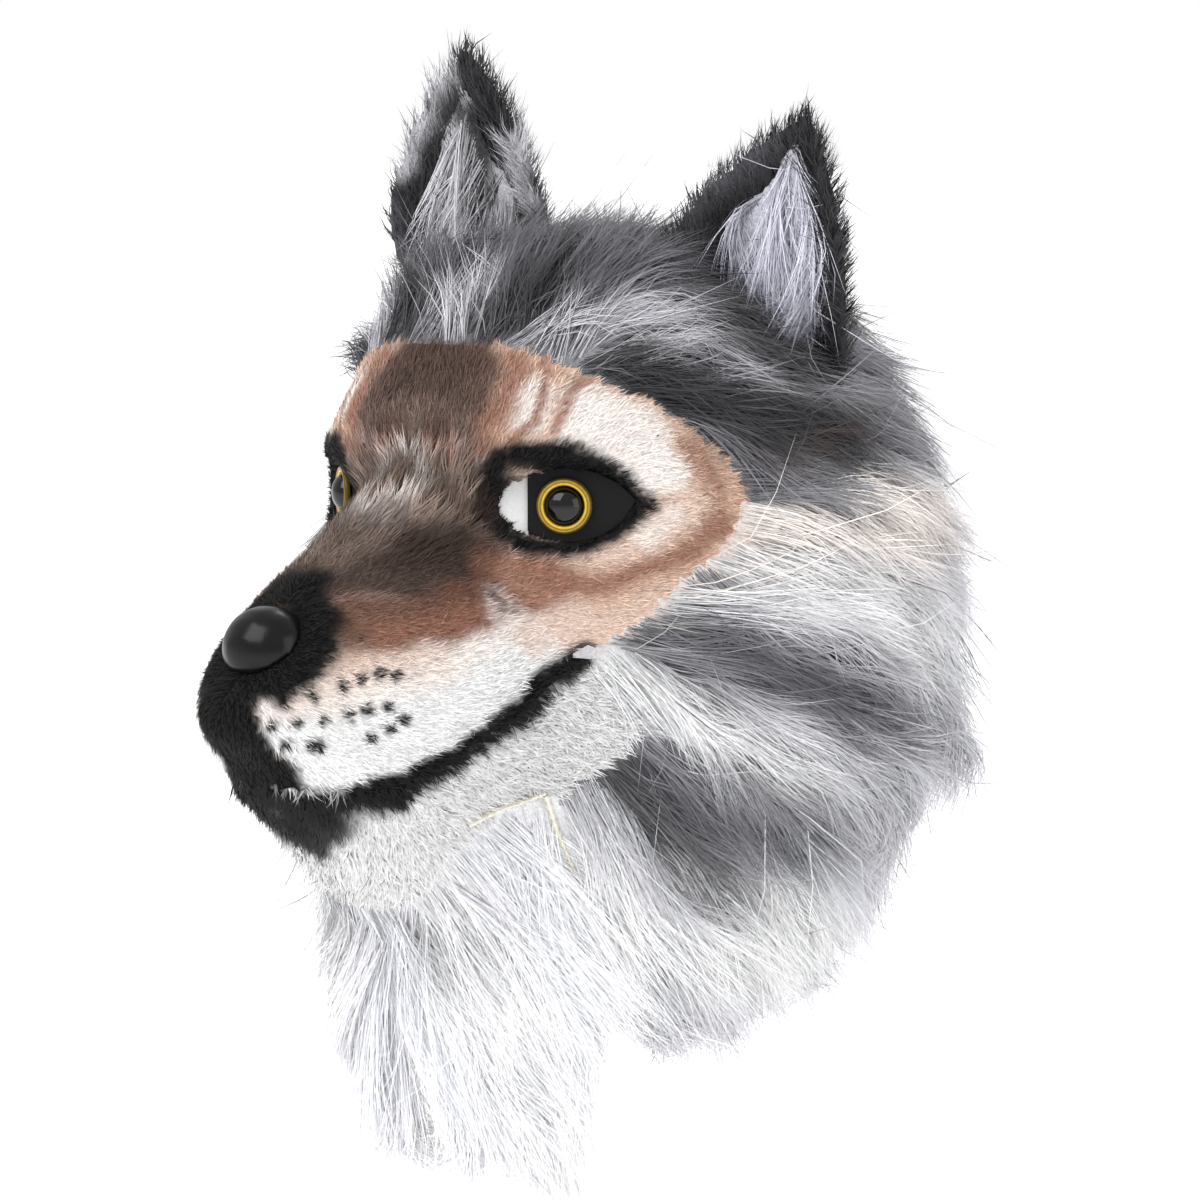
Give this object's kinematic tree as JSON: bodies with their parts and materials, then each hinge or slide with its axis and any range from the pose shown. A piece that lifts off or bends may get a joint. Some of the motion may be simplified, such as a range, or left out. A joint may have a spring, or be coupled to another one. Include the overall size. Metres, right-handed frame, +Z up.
{
  "type": "wolf mask",
  "caption": "Full-head wolf mask: a hollow foam head dressed in short and long faux fur, with stiff ears, domed eyes and a nose.",
  "frame": {"origin": "where the wearer's crown touches the inside of the foam head, on the middle plane", "axes": "+Z up, the wolf looks along -Y, +X to the wearer's left"},
  "size_m": [0.279, 0.3837, 0.4722],
  "materials": {
    "foam": "cream cloth-faced foam, matte",
    "face_pile": "short printed plush in rust, brown, black and white",
    "jaw_plush": "white curly plush, black at the chin",
    "long_fur": "long soft faux fur in white, grey and charcoal",
    "white_fur": "long straight white faux fur",
    "ear_pile": "short charcoal plush",
    "ear_tuft": "long pale grey faux fur",
    "eye_white": "white plastic plate",
    "eye_black": "black plastic plate",
    "eye_gold": "gold ring under a clear rim",
    "pupil_black": "polished black dome",
    "nose_black": "semi-gloss black moulding"
  },
  "bodies": {
    "root": {"head_shell": "foam", "face_fur": "face_pile", "jaw_fur": "jaw_plush", "crown_fur": "long_fur", "nape_fur": "long_fur", "left_cheek_fur": "long_fur", "right_cheek_fur": "long_fur", "throat_bib": "white_fur", "left_ear": "ear_pile", "right_ear": "ear_pile", "left_ear_tuft": "ear_tuft", "right_ear_tuft": "ear_tuft", "left_eye_white": "eye_white", "right_eye_white": "eye_white", "left_eye_patch": "eye_black", "right_eye_patch": "eye_black", "left_eye_ring": "eye_gold", "right_eye_ring": "eye_gold", "left_pupil": "pupil_black", "right_pupil": "pupil_black", "nose": "nose_black"}
  },
  "joints": []
}
